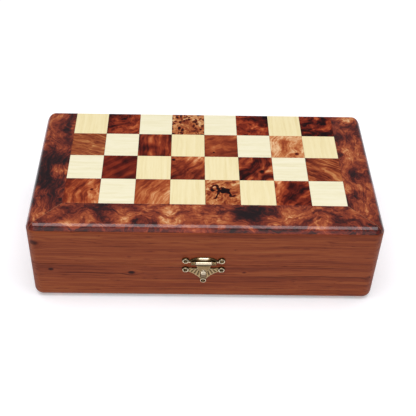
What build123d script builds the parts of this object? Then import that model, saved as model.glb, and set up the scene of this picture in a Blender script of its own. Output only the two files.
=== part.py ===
from build123d import *
import math
import os

# A folding chess board that closes into a case for its 32 men, in millimetres.
# +X runs along the fold, +Y towards the hinges at the back, +Z up. The origin is the
# centre of the closed case's underside. Half of the board is on the lid's top and the
# other half is on the base's underside. Turned 180 degrees about the hinge pins, both
# halves lie side by side, and turned over they are the whole eight by eight board.

# ---- driving dimensions of the case ----
SQUARE = 30.25
COLUMNS = 8
ROWS = 4  # rows of squares on one half
BORDER = 29.0  # width of the burl frame along the front
END_BORDER = 28.2  # width of the frame at each end
SAWN = 1.2  # taken off the row beside the fold where the halves were parted
HEIGHT = 88.0  # closed
LENGTH = COLUMNS * SQUARE + 2 * END_BORDER  # along the fold
DEPTH = ROWS * SQUARE - SAWN + BORDER
SEAM = 0.3  # gap between the two rims, and between the two backs when open
PANEL = 4.5  # thickness of the board panel with its frame
TILE = 2.5  # thickness of one square
GLUE_LINE = 0.1  # gap between neighbouring squares and in the mitres
ROUNDOVER = 7.0  # radius along the case's top and bottom edges, but not beside the fold
CORNER = 8.5  # radius of the case's upright corners
WALL = 9.0
FELT = 1.0
FELT_GAP = 0.2  # round the felt

MID = HEIGHT / 2
RIM = MID + SEAM / 2  # underside of the lid's walls
SEAM_PLANE = Plane.XY.offset(MID)
UNDERSIDE = HEIGHT - PANEL  # of the lid's panel
FIELD_X = COLUMNS * SQUARE / 2
FIELD_Y = BORDER - DEPTH / 2  # front line of the squares

# ---- hinges ----
HINGE_X = 90.0  # from the middle to each hinge
HINGE_Y = DEPTH / 2 + SEAM / 2
LEAF_LENGTH = 25.0
LEAF_WIDTH = 8.0
LEAF_THICKNESS = 1.0
LEAF_GAP = 0.1  # round the leaf in its mortise
KNUCKLE = 2.0  # radius
KNUCKLES = 3  # on each hinge, the middle one on the lid's leaf
KNUCKLE_GAP = 0.2
KNUCKLE_ROOM = 0.3  # radial, between a knuckle and the wood or the other leaf
HINGE_PIN = 0.9  # radius
RUNNING = 0.06  # radial clearance of a knuckle that turns on its pin
NAIL_PITCH = 8.0  # along a leaf
NAIL_ROW = HINGE_Y - 5.2

# ---- nails, all alike ----
NAIL_HEAD = 1.2  # radius
NAIL_HEAD_HEIGHT = 0.5
NAIL_SHANK = 0.5  # radius
NAIL_LENGTH = 6.0  # below the head
NAIL_HOLE = 0.6  # radius of the hole in the brass

# ---- latch, placed from the axis of its own little hinge ----
LATCH_X = -0.7
BARREL_Z = 48.8
BARREL_OUT = 2.2  # from the front face to the barrel's axis
BARREL = 1.9  # radius
BARREL_HALF = 7.0  # half length of the hasp's barrel
LOOP_END = 10.8  # outer ends of the lid plate's two loops
LOOP_GAP = 0.2
HASP_PIN = 0.7  # radius
PLATE = 1.0  # thickness of both plates
EYELET_X = 15.4
EYELET = 3.1  # radius
LID_EYELET_Z = 50.4
BASE_EYELET_Z = 39.3
TIP_Z = 25.8  # the catch plate's lowest eyelet
TIP_EYELET = 2.8
CATCH_TOP = 42.3
HASP_END = 38.3  # lowest edge of the hasp
HASP_THICKNESS = 0.9
HASP_WIDTH = 11.2
NOSE_TOP = 40.3
NOSE_FOOT = 30.5
NOSE_OUT = 3.5  # from the front face

# ---- chessmen: foot radius, height, and how high the widest part of the head goes, with its
# radius, or half its thickness on a knight. A lying man rests on its foot and on that part. ----
MEN = {
    "king": (11.0, 58.0, 47.0, 5.4),
    "queen": (10.5, 52.0, 46.5, 5.5),
    "bishop": (9.5, 44.0, 34.0, 4.4),
    "knight": (9.5, 38.0, 38.0, 3.0),
    "rook": (9.5, 32.0, 32.0, 5.6),
    "pawn": (7.8, 30.0, 25.6, 4.4),
}
FOOT_BAND = 2.6  # height of the foot's upright band, for a foot of FOOT_UNIT radius
FOOT_UNIT = 11.0
REST_GAP = 0.3  # between a man and the felt under it
OFFICERS = ("king", "queen", "bishop_1", "bishop_2", "knight_1", "knight_2")
ROOKS = ("rook_1", "rook_2")
PAWNS = tuple(f"pawn_{number}" for number in range(1, 9))
# Each rank of men lies along Y: the names, and where its feet start.
RANKS = ((OFFICERS, -64.0), (PAWNS, -3.0), (ROOKS, 31.2))
SIDE_MARGIN = 1.6  # between the outermost men and the walls, and at the middle line

os.makedirs("parts", exist_ok=True)


def save(piece, name):
    piece.label = name
    export_step(piece, f"parts/{name}.step")


def mirrored(piece):
    """The same piece on the base: the lid's, mirrored in the seam plane."""
    with BuildPart() as lower:
        mirror(piece, about=SEAM_PLANE)
    return lower.part


# ================= case =================


def wedge(side, length, depth, width):
    """Trims the open sketch to the share that one side has of a mitred frame."""
    x, y, out = length / 2, depth / 2, 2 * CORNER
    corners = {
        "front": ((-x, -y), (x, -y)),
        "right": ((x, -y), (x, y)),
        "back": ((x, y), (-x, y)),
        "left": ((-x, y), (-x, -y)),
    }[side]
    inner = [((1 - width / x) * px, (1 - width / y) * py) for px, py in corners]
    outer = [((1 + out / x) * px, (1 + out / y) * py) for px, py in corners]
    Polygon(inner[0], outer[0], outer[1], inner[1], align=None, mode=Mode.INTERSECT)


def lid_outside():
    """The lid's outside as one solid block, which the walls and the frame are cut to."""
    with BuildPart() as block:
        with BuildSketch(Plane.XY.offset(RIM)) as outline:
            Rectangle(LENGTH, DEPTH)
            fillet(outline.vertices().group_by(Axis.Y)[0], CORNER)
        extrude(amount=HEIGHT - RIM)
        top = block.edges().group_by(Axis.Z)[-1]
        ends = top.filter_by(lambda edge: abs(edge.center().X) > LENGTH / 2 - CORNER)
        front = top.filter_by(lambda edge: edge.center().Y < CORNER - DEPTH / 2)
        fillet(ends + front, ROUNDOVER)
        # The back corners are rounded upright too, and their top edge stays sharp.
        for sign in (-1, 1):
            with BuildSketch(Plane.XY.offset(RIM)):
                with Locations((sign * (LENGTH - CORNER) / 2, (DEPTH - CORNER) / 2)):
                    Rectangle(CORNER, CORNER)
                with Locations((sign * (LENGTH / 2 - CORNER), DEPTH / 2 - CORNER)):
                    Circle(CORNER, mode=Mode.SUBTRACT)
            extrude(amount=HEIGHT - RIM, mode=Mode.SUBTRACT)
    return block.part


OUTSIDE = lid_outside()


def lid_wall(side):
    """One mitred wall of the lid, from the rim up to the board panel."""
    with BuildPart() as wall:
        with BuildSketch(Plane.XY.offset(RIM)):
            Rectangle(LENGTH, DEPTH)
            Rectangle(LENGTH - 2 * WALL, DEPTH - 2 * WALL, mode=Mode.SUBTRACT)
            wedge(side, LENGTH, DEPTH, WALL)
        extrude(amount=UNDERSIDE - RIM)
        add(OUTSIDE, mode=Mode.INTERSECT)
        if side == "back":
            hinge_seats()
    return wall.part


def hinge_seats():
    """Cuts the leaf mortises and the knuckles' hollows into the lid's back wall."""
    mortise_y = HINGE_Y - LEAF_WIDTH - LEAF_GAP
    with BuildSketch(Plane.XY.offset(RIM)) as mortises:
        with Locations(*((x, (mortise_y + HINGE_Y) / 2) for x in (-HINGE_X, HINGE_X))):
            Rectangle(LEAF_LENGTH + 2 * LEAF_GAP, HINGE_Y - mortise_y)
    extrude(mortises.sketch, amount=LEAF_THICKNESS, mode=Mode.SUBTRACT)
    for x in (-HINGE_X, HINGE_X):
        with BuildSketch(Plane.YZ.offset(x)) as hollow:
            with Locations((HINGE_Y, MID)):
                Circle(KNUCKLE + KNUCKLE_ROOM)
        extrude(hollow.sketch, amount=LEAF_LENGTH / 2 + LEAF_GAP, both=True, mode=Mode.SUBTRACT)


def lid_panel():
    """The flat sheet that the squares are glued to, inside the burl frame."""
    with BuildPart() as panel:
        with BuildSketch(Plane.XY.offset(UNDERSIDE)):
            with Locations((0, BORDER / 2)):
                Rectangle(2 * FIELD_X, DEPTH - BORDER)
        extrude(amount=PANEL - TILE)
    return panel.part


def lid_frame():
    """Three mitred burl strips round the squares, with a rounded outer edge."""
    with BuildPart() as frame:
        with BuildSketch(Plane.XY.offset(UNDERSIDE)):
            Rectangle(LENGTH, DEPTH)
            with Locations((0, BORDER / 2)):
                Rectangle(2 * FIELD_X, DEPTH - BORDER, mode=Mode.SUBTRACT)
        extrude(amount=PANEL)
        add(OUTSIDE, mode=Mode.INTERSECT)
        # A glue line at each front mitre parts the strips, from the squares to the corner.
        slant = math.degrees(math.atan2(BORDER, END_BORDER))
        with BuildSketch(Plane.XY.offset(UNDERSIDE)):
            for sign in (-1, 1):
                middle = (sign * (LENGTH - END_BORDER) / 2, (BORDER - DEPTH) / 2)
                with Locations(Location(middle, sign * -slant)):
                    Rectangle(2 * BORDER, GLUE_LINE)
        extrude(amount=PANEL, mode=Mode.SUBTRACT)
    return frame.part


def lid_squares(dark):
    """The sixteen dark or light squares of the lid. Its front left square is dark."""
    spots = [
        ((column + 0.5) * SQUARE - FIELD_X, (row + 0.5) * SQUARE + FIELD_Y)
        for row in range(ROWS)
        for column in range(COLUMNS)
        if ((column + row) % 2 == 0) == dark
    ]
    with BuildPart() as squares:
        with BuildSketch(Plane.XY.offset(HEIGHT - TILE)):
            with Locations(*spots):
                Rectangle(SQUARE - GLUE_LINE, SQUARE - GLUE_LINE)
            # The row beside the fold ends at the saw cut.
            Rectangle(LENGTH, DEPTH, mode=Mode.INTERSECT)
        extrude(amount=TILE)
    return squares.part


def lid_felt():
    with BuildPart() as felt:
        with BuildSketch(Plane.XY.offset(UNDERSIDE - FELT)):
            Rectangle(LENGTH - 2 * (WALL + FELT_GAP), DEPTH - 2 * (WALL + FELT_GAP))
        extrude(amount=FELT)
    return felt.part


def case():
    for side in ("front", "back", "left", "right"):
        wall = lid_wall(side)
        save(wall, f"lid_{side}_wall")
        save(mirrored(wall), f"base_{side}_wall")
    for name, piece in (("board_panel", lid_panel()), ("burl_frame", lid_frame()), ("felt", lid_felt())):
        save(piece, f"lid_{name}")
        save(mirrored(piece), f"base_{name}")
    dark, light = lid_squares(True), lid_squares(False)
    save(dark, "lid_dark_squares")
    save(light, "lid_light_squares")
    # Across the fold the colours go on alternating, so the base has them the other way round.
    save(mirrored(light), "base_dark_squares")
    save(mirrored(dark), "base_light_squares")


# ================= brass =================


def axial_plane(origin, side, axis):
    """A sketch plane through an axis: X is the radius along side, and Y is along the axis."""
    return Plane(origin=origin, x_dir=side, z_dir=Vector(*side).cross(Vector(*axis)))


def nails(seats, out, side):
    """Nails whose heads' undersides are at the seats, pointing away from the direction out."""
    with BuildPart() as group:
        for seat in seats:
            with BuildSketch(axial_plane(seat, side, out)):
                with BuildLine():
                    Polyline(
                        (0, NAIL_HEAD_HEIGHT),
                        (0.7 * NAIL_HEAD, NAIL_HEAD_HEIGHT),
                        (NAIL_HEAD, 0.4 * NAIL_HEAD_HEIGHT),
                        (NAIL_HEAD, 0),
                        (NAIL_SHANK, 0),
                        (NAIL_SHANK, -0.8 * NAIL_LENGTH),
                        (0, -NAIL_LENGTH),
                        close=True,
                    )
                make_face()
            revolve(axis=Axis(seat, out))
    return group.part


def leaf_nail_spots():
    return [(x + step * NAIL_PITCH, NAIL_ROW) for x in (-HINGE_X, HINGE_X) for step in (-1, 0, 1)]


def hinge_leaves(on_lid):
    """Both leaves on one half, with their knuckles, bores and nail holes, as they lie on the lid."""
    third = LEAF_LENGTH / KNUCKLES
    own = [0.0] if on_lid else [-third, third]
    other = [-third, third] if on_lid else [0.0]
    bore = HINGE_PIN + (RUNNING if on_lid else 0)
    head_floor = RIM + NAIL_HEAD_HEIGHT
    with BuildPart() as leaves:
        with BuildSketch(Plane.XY.offset(RIM)):
            with Locations(*((x, HINGE_Y - LEAF_WIDTH / 2) for x in (-HINGE_X, HINGE_X))):
                Rectangle(LEAF_LENGTH, LEAF_WIDTH)
        extrude(amount=LEAF_THICKNESS)
        for x in (-HINGE_X, HINGE_X):
            for step in other:
                with BuildSketch(Plane.YZ.offset(x + step)):
                    with Locations((HINGE_Y, MID)):
                        Circle(KNUCKLE + KNUCKLE_ROOM)
                extrude(amount=(third + KNUCKLE_GAP) / 2, both=True, mode=Mode.SUBTRACT)
            for step in own:
                with BuildSketch(Plane.YZ.offset(x + step)):
                    with Locations((HINGE_Y, MID)):
                        Circle(KNUCKLE)
                extrude(amount=(third - KNUCKLE_GAP) / 2, both=True)
            with BuildSketch(Plane.YZ.offset(x)):
                with Locations((HINGE_Y, MID)):
                    Circle(bore)
            extrude(amount=LEAF_LENGTH, both=True, mode=Mode.SUBTRACT)
        with BuildSketch(Plane.XY.offset(RIM)):
            with Locations(*leaf_nail_spots()):
                Circle(NAIL_HOLE)
        extrude(amount=LEAF_THICKNESS, mode=Mode.SUBTRACT)
        with BuildSketch(Plane.XY.offset(RIM)):
            with Locations(*leaf_nail_spots()):
                Circle(NAIL_HEAD + 0.1)
        extrude(amount=head_floor - RIM, mode=Mode.SUBTRACT)
    return leaves.part


def hinge_pins():
    with BuildPart() as pins:
        for x in (-HINGE_X, HINGE_X):
            with BuildSketch(Plane.YZ.offset(x)):
                with Locations((HINGE_Y, MID)):
                    Circle(HINGE_PIN)
            extrude(amount=LEAF_LENGTH / 2, both=True)
    return pins.part


def front_plane(out=0.0):
    """The case's front face, moved out by a distance. X is along the case and Y is height."""
    return Plane(origin=(LATCH_X, -DEPTH / 2 - out, 0), x_dir=(1, 0, 0), z_dir=(0, -1, 0))


def latch_side(offset):
    """A plane across the latch, where X is towards the back and Y is height."""
    return Plane.YZ.offset(LATCH_X + offset)


def barrel_circle(radius):
    with Locations((-DEPTH / 2 - BARREL_OUT, BARREL_Z)):
        Circle(radius)


def lid_latch_plate():
    """The plate on the lid: an arched body, two eyelets on arms, and the two loops for the pin."""
    with BuildPart() as plate:
        with BuildSketch(front_plane()):
            with BuildLine():
                Line((-LOOP_END, 46.8), (LOOP_END, 46.8))
                Line((LOOP_END, 46.8), (LOOP_END, 51.4))
                ThreePointArc((LOOP_END, 51.4), (0, 55.2), (-LOOP_END, 51.4))
                Line((-LOOP_END, 51.4), (-LOOP_END, 46.8))
            make_face()
            with Locations((0, LID_EYELET_Z - 1.2)):
                Rectangle(2 * EYELET_X, 2.2)
            for x in (-EYELET_X, EYELET_X):
                with Locations((x, LID_EYELET_Z)):
                    Circle(EYELET)
            for x in (-EYELET_X, EYELET_X):
                with Locations((x, LID_EYELET_Z)):
                    Circle(NAIL_HOLE, mode=Mode.SUBTRACT)
        extrude(amount=PLATE)
        # Room for the hasp's barrel, then the two loops beside it.
        with BuildSketch(latch_side(0)):
            barrel_circle(BARREL + LOOP_GAP)
        extrude(amount=BARREL_HALF + LOOP_GAP, both=True, mode=Mode.SUBTRACT)
        middle = (LOOP_END + BARREL_HALF + LOOP_GAP) / 2
        for sign in (-1, 1):
            with BuildSketch(latch_side(sign * middle)):
                barrel_circle(BARREL)
            extrude(amount=LOOP_END - middle, both=True)
        with BuildSketch(latch_side(0)):
            barrel_circle(HASP_PIN)
        extrude(amount=2 * LOOP_END, both=True, mode=Mode.SUBTRACT)
    return plate.part


def hasp_pin():
    with BuildPart() as pin:
        with BuildSketch(latch_side(0)):
            barrel_circle(HASP_PIN)
        extrude(amount=LOOP_END, both=True)
    return pin.part


def hasp():
    """The swinging hasp: a barrel on the pin and a tongue that straddles the catch's nose."""
    half = HASP_WIDTH / 2
    shoulder = HASP_END + half
    with BuildPart() as tongue:
        with BuildSketch(front_plane(BARREL_OUT)):
            with BuildLine():
                Line((-BARREL_HALF, BARREL_Z), (BARREL_HALF, BARREL_Z))
                Line((BARREL_HALF, BARREL_Z), (BARREL_HALF, BARREL_Z - BARREL))
                Line((BARREL_HALF, BARREL_Z - BARREL), (half, shoulder + 1))
                Line((half, shoulder + 1), (half, shoulder))
                ThreePointArc((half, shoulder), (0, HASP_END), (-half, shoulder))
                Line((-half, shoulder), (-half, shoulder + 1))
                Line((-half, shoulder + 1), (-BARREL_HALF, BARREL_Z - BARREL))
                Line((-BARREL_HALF, BARREL_Z - BARREL), (-BARREL_HALF, BARREL_Z))
            make_face()
            # The notch is open below, so that it slides up off the nose.
            with Locations((0, HASP_END)):
                SlotOverall(2 * (NOSE_TOP + 1.0 - HASP_END), 3.4, rotation=90, mode=Mode.SUBTRACT)
        extrude(amount=HASP_THICKNESS)
        with BuildSketch(latch_side(0)):
            barrel_circle(BARREL)
        extrude(amount=BARREL_HALF, both=True)
        with BuildSketch(latch_side(0)):
            barrel_circle(HASP_PIN + RUNNING)
        extrude(amount=2 * BARREL_HALF, both=True, mode=Mode.SUBTRACT)
    return tongue.part


def catch_plate():
    """The fan-shaped plate on the base, with three eyelets and the raised nose."""
    spots = ((-EYELET_X, BASE_EYELET_Z), (EYELET_X, BASE_EYELET_Z), (0, TIP_Z))
    with BuildPart() as plate:
        with BuildSketch(front_plane()):
            with BuildLine():
                Line((-EYELET_X, CATCH_TOP - 1), (-8, CATCH_TOP))
                Line((-8, CATCH_TOP), (8, CATCH_TOP))
                Line((8, CATCH_TOP), (EYELET_X, CATCH_TOP - 1))
                Line((EYELET_X, CATCH_TOP - 1), (EYELET_X, BASE_EYELET_Z - EYELET))
                ThreePointArc((EYELET_X, BASE_EYELET_Z - EYELET), (7.2, 31.6), (2.4, TIP_Z + 1))
                Line((2.4, TIP_Z + 1), (-2.4, TIP_Z + 1))
                ThreePointArc((-2.4, TIP_Z + 1), (-7.2, 31.6), (-EYELET_X, BASE_EYELET_Z - EYELET))
                Line((-EYELET_X, BASE_EYELET_Z - EYELET), (-EYELET_X, CATCH_TOP - 1))
            make_face()
            for (x, z), radius in zip(spots, (EYELET, EYELET, TIP_EYELET)):
                with Locations((x, z)):
                    Circle(radius)
        extrude(amount=PLATE)
        # The nose: highest and narrowest at its top, running down into the plate.
        with BuildSketch(front_plane()):
            with BuildLine():
                Polyline((-0.7, NOSE_TOP), (0.7, NOSE_TOP), (2.6, NOSE_FOOT), (-2.6, NOSE_FOOT), close=True)
            make_face()
        extrude(amount=NOSE_OUT)
        face = -DEPTH / 2
        with BuildSketch(latch_side(0)):
            with BuildLine():
                Polyline(
                    (face - PLATE, NOSE_FOOT),
                    (face - NOSE_OUT, NOSE_TOP - 1.2),
                    (face - NOSE_OUT + 0.6, NOSE_TOP),
                    (face - NOSE_OUT - 1, NOSE_TOP + 1),
                    (face - NOSE_OUT - 1, NOSE_FOOT),
                    close=True,
                )
            make_face()
        extrude(amount=EYELET, both=True, mode=Mode.SUBTRACT)
        with BuildSketch(front_plane()):
            with Locations(*spots):
                Circle(NAIL_HOLE)
        extrude(amount=PLATE, mode=Mode.SUBTRACT)
    return plate.part


def brass():
    save(hinge_leaves(True), "lid_hinge_leaves")
    save(mirrored(hinge_leaves(False)), "base_hinge_leaves")
    save(hinge_pins(), "hinge_pins")
    save(lid_latch_plate(), "lid_latch_plate")
    save(hasp_pin(), "hasp_pin")
    save(hasp(), "hasp")
    save(catch_plate(), "catch_plate")
    # Nails: upright ones hold the leaves, and level ones hold the latch.
    face = -DEPTH / 2 - PLATE
    lid_heads = [(x, y, RIM + NAIL_HEAD_HEIGHT) for x, y in leaf_nail_spots()]
    base_heads = [(x, y, 2 * MID - z) for x, y, z in lid_heads]
    lid_eyelets = [(LATCH_X + x, face, LID_EYELET_Z) for x in (-EYELET_X, EYELET_X)]
    base_eyelets = [(LATCH_X + x, face, BASE_EYELET_Z) for x in (-EYELET_X, EYELET_X)]
    base_eyelets.append((LATCH_X, face, TIP_Z))
    up, down, front, side = (0, 0, 1), (0, 0, -1), (0, -1, 0), (1, 0, 0)
    lid_groups = [nails(lid_heads, down, side), nails(lid_eyelets, front, side)]
    base_groups = [nails(base_heads, up, side), nails(base_eyelets, front, side)]
    with BuildPart() as lid_nails:
        add(lid_groups)
    save(lid_nails.part, "lid_brass_nails")
    with BuildPart() as base_nails:
        add(base_groups)
    save(base_nails.part, "base_brass_nails")


# ================= chessmen =================


def foot_and_stem(radius, neck, stem_top):
    """Draws a turned foot and its stem, from the centre of the foot to the neck."""
    u = radius / FOOT_UNIT
    Line((0, 0), (radius - 0.4, 0))
    Line((radius - 0.4, 0), (radius, 0.4))
    Line((radius, 0.4), (radius, FOOT_BAND * u))
    ThreePointArc((radius, FOOT_BAND * u), (radius - 0.6 * u, 3.9 * u), (radius - 2 * u, 4.4 * u))
    Line((radius - 2 * u, 4.4 * u), (radius - 2 * u, 5 * u))
    ThreePointArc((radius - 2 * u, 5 * u), (radius - 2.6 * u, 6.6 * u), (radius - 4 * u, 7.2 * u))
    Spline((radius - 4 * u, 7.2 * u), (neck, stem_top), tangents=((-1, 0.9), (0, 1)))


def collar(neck, height, reach, u):
    """Draws a thin turned collar and returns the height of its top."""
    top = height + 1.3 * u
    Line((neck, height), (reach, height))
    ThreePointArc((reach, height), (reach + 0.6 * u, (height + top) / 2), (reach, top))
    Line((reach, top), (neck, top))
    return top


def close_outline(height):
    Line((0, height), (0, 0))


def pawn_outline(radius, height, head_height, head):
    u = radius / FOOT_UNIT
    neck = 3.4 * u
    foot_and_stem(radius, neck, 0.62 * height)
    top = collar(neck, 0.62 * height, 5.6 * u, u)
    start = head_height - math.sqrt(head**2 - neck**2)
    Line((neck, top), (neck, start))
    ThreePointArc((neck, start), (head, head_height), (0, height))
    close_outline(height)


def rook_outline(radius, height, head_height, head):
    u = radius / FOOT_UNIT
    neck = 4.6 * u
    well = height - 2.6 * u
    foot_and_stem(radius, neck, 0.66 * height)
    top = collar(neck, 0.66 * height, 5.6 * u, u)
    Line((neck, top), (head, height - 7 * u))
    Line((head, height - 7 * u), (head, height))
    Line((head, height), (head - 2 * u, height))
    Line((head - 2 * u, height), (head - 2 * u, well))
    Line((head - 2 * u, well), (0, well))
    close_outline(well)


def bishop_outline(radius, height, head_height, head):
    u = radius / FOOT_UNIT
    neck = 3.2 * u
    knob = 1.6 * u
    foot_and_stem(radius, neck, 0.58 * height)
    top = collar(neck, 0.58 * height, 5.8 * u, u)
    Line((neck, top), (neck, top + 1.5 * u))
    Spline(
        (neck, top + 1.5 * u),
        (head, head_height),
        (0.6 * knob, height - 1.8 * knob),
        tangents=((1, 1), (-0.7, 1)),
    )
    ThreePointArc((0.6 * knob, height - 1.8 * knob), (knob, height - knob), (0, height))
    close_outline(height)


def queen_outline(radius, height, head_height, head):
    u = radius / FOOT_UNIT
    neck = 3.3 * u
    knob = 1.9 * u
    foot_and_stem(radius, neck, 0.62 * height)
    top = collar(neck, 0.62 * height, 6.0 * u, u)
    Line((neck, top), (neck, top + 1.5 * u))
    Spline((neck, top + 1.5 * u), (head, head_height), tangents=((0.2, 1), (0.7, 1)))
    Line((head, head_height), (head - 0.6 * u, head_height + 0.8 * u))
    ThreePointArc(
        (head - 0.6 * u, head_height + 0.8 * u),
        (0.6 * head, head_height + 1.8 * u),
        (0.6 * knob, height - 1.8 * knob),
    )
    ThreePointArc((0.6 * knob, height - 1.8 * knob), (knob, height - knob), (0, height))
    close_outline(height)


def king_outline(radius, height, head_height, head):
    u = radius / FOOT_UNIT
    neck = 3.5 * u
    shoulder = head_height + 1.0 * u
    crown = height - 7.6 * u
    foot_and_stem(radius, neck, 0.6 * height)
    top = collar(neck, 0.6 * height, 6.3 * u, u)
    Line((neck, top), (neck, top + 1.6 * u))
    Spline((neck, top + 1.6 * u), (head, head_height), tangents=((0.1, 1), (0.4, 1)))
    Line((head, head_height), (head - 0.6 * u, shoulder))
    ThreePointArc((head - 0.6 * u, shoulder), (0.55 * head, crown - 0.7 * u), (0, crown))
    close_outline(crown)


def knight_outline(radius, height, head_height, head):
    u = radius / FOOT_UNIT
    neck = 6.4 * u
    foot_and_stem(radius, neck, 8.8 * u)
    top = collar(neck, 8.8 * u, 7.0 * u, u)
    Line((neck, top), (0, top))
    close_outline(top)


OUTLINES = {
    "king": king_outline,
    "queen": queen_outline,
    "bishop": bishop_outline,
    "knight": knight_outline,
    "rook": rook_outline,
    "pawn": pawn_outline,
}


def king_cross(axial, height, u):
    """A plain flared cross on the king's crown."""
    with BuildSketch(axial) as cross:
        with Locations((0, height - 4.4 * u)):
            Rectangle(2 * u, 8.8 * u)
        with Locations((0, height - 3.6 * u)):
            Rectangle(5.8 * u, 2 * u)
    extrude(cross.sketch, amount=1.0 * u, both=True)


def queen_notches(cross, head_height, head, u):
    """Eight scallops round the queen's coronet."""
    notches = 8
    for number in range(notches):
        angle = 2 * math.pi * number / notches
        spoke = cross.x_dir * math.cos(angle) + cross.y_dir * math.sin(angle)
        rim = cross.origin + cross.z_dir * (head_height + 1.4 * u) + spoke * (head - 1.6 * u)
        with BuildSketch(Plane(origin=rim, z_dir=spoke)) as scallop:
            Circle(1.0 * u)
        extrude(scallop.sketch, amount=4 * u, mode=Mode.SUBTRACT)


def rook_slots(cross, height, u):
    """Two crossed cuts leave four battlements."""
    rim = Plane(origin=cross.origin + cross.z_dir * height, x_dir=cross.x_dir, z_dir=cross.z_dir)
    with BuildSketch(rim) as cuts:
        Rectangle(14 * u, 2 * u)
        Rectangle(2 * u, 14 * u)
    extrude(cuts.sketch, amount=-2.2 * u, mode=Mode.SUBTRACT)


def bishop_cut(axial, head_height, head, u):
    """A slanting cut in one side of the mitre."""
    with BuildSketch(axial) as cut:
        with Locations(Location((0.75 * head, head_height + 3.4 * u), -35)):
            Rectangle(1.0 * u, 5.5 * u)
    extrude(cut.sketch, amount=2 * head, both=True, mode=Mode.SUBTRACT)


def knight_head(axial, height, head, u):
    """A horse's head and neck in side view, as thick as the head, with eyes, a mouth and ears."""
    base = 10.0 * u
    with BuildSketch(axial) as profile:
        with BuildLine():
            Line((-5.6 * u, base), (5.2 * u, base))
            Spline((5.2 * u, base), (2.6 * u, 0.5 * height), (1.6 * u, 0.62 * height))
            Spline((1.6 * u, 0.62 * height), (4.6 * u, 0.64 * height), (7.6 * u, 0.66 * height))
            Spline((7.6 * u, 0.66 * height), (8.4 * u, 0.72 * height), (7.4 * u, 0.77 * height))
            Spline((7.4 * u, 0.77 * height), (4.4 * u, 0.87 * height), (1.2 * u, 0.93 * height))
            Line((1.2 * u, 0.93 * height), (0.2 * u, height))
            Line((0.2 * u, height), (-1.6 * u, 0.93 * height))
            Spline((-1.6 * u, 0.93 * height), (-5.8 * u, 0.72 * height), (-5.6 * u, base))
        make_face()
    with BuildPart() as horse:
        extrude(profile.sketch, amount=head, both=True)
        for sign in (-1, 1):
            with BuildSketch(axial.offset(sign * head)) as eye:
                with Locations((3.2 * u, 0.83 * height)):
                    Circle(0.8 * u)
            extrude(eye.sketch, amount=-sign * 0.6 * u, mode=Mode.SUBTRACT)
        with BuildSketch(axial) as mouth:
            with Locations(Location((7.4 * u, 0.69 * height), 8)):
                Rectangle(4.4 * u, 0.5 * u)
        extrude(mouth.sketch, amount=2 * head, both=True, mode=Mode.SUBTRACT)
        with BuildSketch(axial) as parting:
            with Locations((0, 0.97 * height)):
                Rectangle(5 * u, 0.08 * height)
        extrude(parting.sketch, amount=0.35 * head, both=True, mode=Mode.SUBTRACT)
    return horse.part


def man(kind, foot, lean, heading):
    """One chessman lying in the base, its foot's centre at foot and its head towards heading."""
    radius, height, head_height, head = MEN[kind]
    u = radius / FOOT_UNIT
    side = (1, 0, 0)
    axis = (0, heading * math.cos(lean), -math.sin(lean))
    axial = axial_plane(foot, side, axis)
    cross = Plane(origin=foot, x_dir=side, z_dir=axis)
    with BuildPart() as piece:
        with BuildSketch(axial):
            with BuildLine():
                OUTLINES[kind](radius, height, head_height, head)
            make_face()
        revolve(axis=Axis(foot, axis))
        if kind == "king":
            king_cross(axial, height, u)
        if kind == "queen":
            queen_notches(cross, head_height, head, u)
        if kind == "rook":
            rook_slots(cross, height, u)
        if kind == "bishop":
            bishop_cut(axial, head_height, head, u)
        if kind == "knight":
            add(knight_head(axial, height, head, u))
    return piece.part


def men(colour, low_x, high_x):
    """All sixteen men of one colour, in three ranks between two X values."""
    floor = PANEL + FELT + REST_GAP
    for names, start_y in RANKS:
        kinds = [name.split("_")[0] for name in names]
        widths = [2 * MEN[kind][0] for kind in kinds]
        gap = (high_x - low_x - sum(widths)) / (len(names) - 1)
        left = low_x
        for name, kind, width in zip(names, kinds, widths):
            radius, height, head_height, head = MEN[kind]
            band = FOOT_BAND * radius / FOOT_UNIT
            lean = math.atan2(radius - head, head_height - band)
            foot = (
                left + radius,
                start_y + radius * math.sin(lean),
                floor + radius * math.cos(lean) + band * math.sin(lean),
            )
            save(man(kind, foot, lean, 1), f"{colour}_{name}")
            left += width + gap


case()
brass()
inside = LENGTH / 2 - WALL - SIDE_MARGIN
men("light", -inside, -SIDE_MARGIN)
men("dark", SIDE_MARGIN, inside)
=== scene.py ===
import math
import random

import bmesh
import bpy
from mathutils import Matrix, Vector
from mathutils.geometry import delaunay_2d_cdt
from mathutils.kdtree import KDTree


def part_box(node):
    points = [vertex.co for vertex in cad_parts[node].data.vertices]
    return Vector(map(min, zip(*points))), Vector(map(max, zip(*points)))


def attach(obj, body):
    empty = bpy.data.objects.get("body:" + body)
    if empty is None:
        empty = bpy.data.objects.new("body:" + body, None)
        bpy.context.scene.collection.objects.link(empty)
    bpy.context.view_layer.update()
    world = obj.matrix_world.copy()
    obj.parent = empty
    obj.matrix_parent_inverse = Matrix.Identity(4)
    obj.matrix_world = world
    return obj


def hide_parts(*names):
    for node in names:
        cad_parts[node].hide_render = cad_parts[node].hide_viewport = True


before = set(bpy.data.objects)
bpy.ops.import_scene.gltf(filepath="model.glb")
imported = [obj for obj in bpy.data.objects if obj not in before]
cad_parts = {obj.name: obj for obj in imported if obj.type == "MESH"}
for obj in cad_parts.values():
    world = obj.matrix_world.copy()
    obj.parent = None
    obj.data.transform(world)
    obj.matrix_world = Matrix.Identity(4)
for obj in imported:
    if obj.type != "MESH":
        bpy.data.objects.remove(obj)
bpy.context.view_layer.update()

MM = 0.001

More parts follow.
